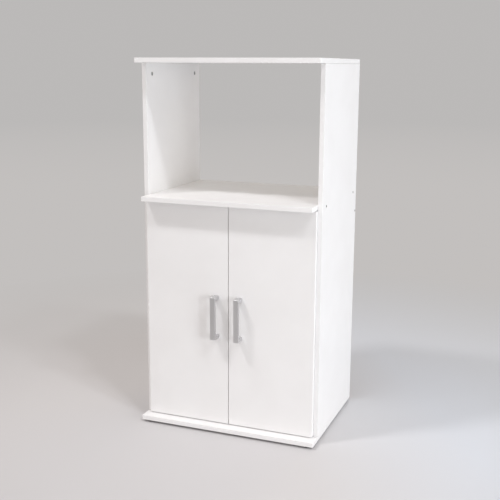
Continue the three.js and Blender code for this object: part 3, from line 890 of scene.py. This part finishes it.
def cam_lock(sign, y, z):
    """A cam in its hole in the side, with its cross slot and the passage that takes the bolt."""
    barrel = turned((
        (0.0, 0.0), (0.0056, 0.0), (0.0059, -0.0001), (CAM_RADIUS, -0.0004), (CAM_RADIUS, -0.0106),
        (0.0057, -CAM_DEPTH), (0.0, -CAM_DEPTH),
    ))
    cam = cut(
        to_mesh("cam", barrel, CAST),
        block(CAM_SLOT_HALF, CAM_SLOT_HALF_WIDTH, -CAM_SLOT_DEPTH, 0.001),
        block(CAM_SLOT_HALF_WIDTH, CAM_SLOT_HALF, -CAM_SLOT_DEPTH, 0.001),
    )
    face = sign * INNER_FACE
    ends = sorted((face + sign * PASSAGE_FROM, face + sign * PASSAGE_TO))
    passage = straight_block(
        (ends[0], y - PASSAGE_HALF, z - PASSAGE_BELOW), (ends[1], y + PASSAGE_HALF, z + PASSAGE_ABOVE)
    )
    cam = cut(placed(cam, (face, y, z), (-sign, 0.0, 0.0)), passage)
    smooth(cam)
    return cam


def shelf_pin(length):
    """A pin along +Z, with a collar that stops it at the side's face."""
    return to_mesh("shelf_pin", turned((
        (0.0, 0.0), (0.0020, 0.0), (0.0024, 0.0002), (SHELF_PIN_RADIUS, 0.0006),
        (SHELF_PIN_RADIUS, 0.0070), (0.0034, 0.0071), (COLLAR_RADIUS, 0.0073),
        (COLLAR_RADIUS, 0.0079), (SHELF_PIN_RADIUS, 0.0080), (SHELF_PIN_RADIUS, length - 0.0006),
        (0.0020, length), (0.0, length),
    )), ZINC)


LONG_SCREW = socket_screw(head=0.0045, shank=0.0025, length=0.048)
RAIL_SCREW = socket_screw(head=0.0040, shank=0.00225, length=0.045)
for side, sign in (("left", -1), ("right", 1)):
    for node in (side + "_front_shelf_screw", side + "_rear_shelf_screw", side + "_rail_screw"):
        low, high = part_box(node)
        seat = ((low.x if sign < 0 else high.x), (low.y + high.y) / 2, (low.z + high.z) / 2)
        screw = placed(RAIL_SCREW if "rail" in node else LONG_SCREW, seat, (sign, 0.0, 0.0))
        stand_for(node, node + "_turned", screw)
    for row in ("front", "rear"):
        node = f"{side}_{row}_base_screw"
        low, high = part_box(node)
        seat = ((low.x + high.x) / 2, (low.y + high.y) / 2, low.z)
        screw = placed(LONG_SCREW, seat, (0.0, 0.0, -1.0))
        stand_for(node, node + "_turned", screw)

        node = f"{side}_{row}_cam_lock"
        low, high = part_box(node)
        cam = cam_lock(sign, (low.y + high.y) / 2, (low.z + high.z) / 2)
        stand_for(node, node + "_cast", cam)
        frame["nodes"][f"{side}_{row}_cam_bolt"].data.materials[0] = ZINC

        node = f"{side}_{row}_shelf_pin"
        low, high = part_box(node)
        start = (low.x if sign > 0 else high.x, (low.y + high.y) / 2, (low.z + high.z) / 2)
        pin = placed(shelf_pin(high.x - low.x), start, (sign, 0.0, 0.0))
        smooth(pin)
        stand_for(node, node + "_turned", pin)

# ---- glides ----------------------------------------------------------------------------------
# Four black feet under the base board, moulded in plastic with a rounded rim. Each is nailed on
# with a steel pin through its middle, and the pin's head is sunk in the sole.
def black_plastic():
    material, tree, shader = new_material("black_plastic")
    link = tree.links.new
    cloud = noise(tree, 90.0, 3.0)
    black = blend_colours(tree, cloud, (0.024, 0.024, 0.026), (0.042, 0.042, 0.044))
    link(black, shader.inputs["Base Color"])
    link(blend_values(tree, noise(tree, 300.0, 2.0), 0.46, 0.60), shader.inputs["Roughness"])
    bump(tree, shader, noise(tree, 1800.0, 2.0), 0.00004, 0.5)
    return material


FOOT_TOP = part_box("base_panel")[0].z - 0.0003
NAIL_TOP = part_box("left_front_glide")[1].z
FOOT_RADIUS = 0.0110
NAIL_RADIUS = 0.0012
NAIL_HEAD = 0.0030
NAIL_SUNK = 0.0006
FOOT = turned((
    (0.0, NAIL_SUNK), (NAIL_HEAD, NAIL_SUNK), (0.0036, 0.0), (0.0092, 0.0), (0.0103, 0.0004),
    (0.0108, 0.0011), (FOOT_RADIUS, 0.0020), (FOOT_RADIUS, FOOT_TOP - 0.0006),
    (0.0108, FOOT_TOP - 0.0001), (0.0104, FOOT_TOP), (NAIL_RADIUS, FOOT_TOP),
    (NAIL_RADIUS, NAIL_TOP - 0.0005), (0.0, NAIL_TOP),
), 64)
foot_mesh = to_mesh("glide", FOOT, black_plastic(), ZINC)
for face in foot_mesh.polygons:
    in_sole = face.center.z < NAIL_SUNK + SHRINK and math.hypot(*face.center.xy) < NAIL_HEAD
    if face.center.z > FOOT_TOP + 0.0001 or in_sole:
        face.material_index = 1
for side in ("left", "right"):
    for row in ("front", "rear"):
        node = f"{side}_{row}_glide"
        low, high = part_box(node)
        foot = placed(foot_mesh, ((low.x + high.x) / 2, (low.y + high.y) / 2, 0.0), (0.0, 0.0, 1.0))
        smooth(foot)
        stand_for(node, node + "_moulded", foot)
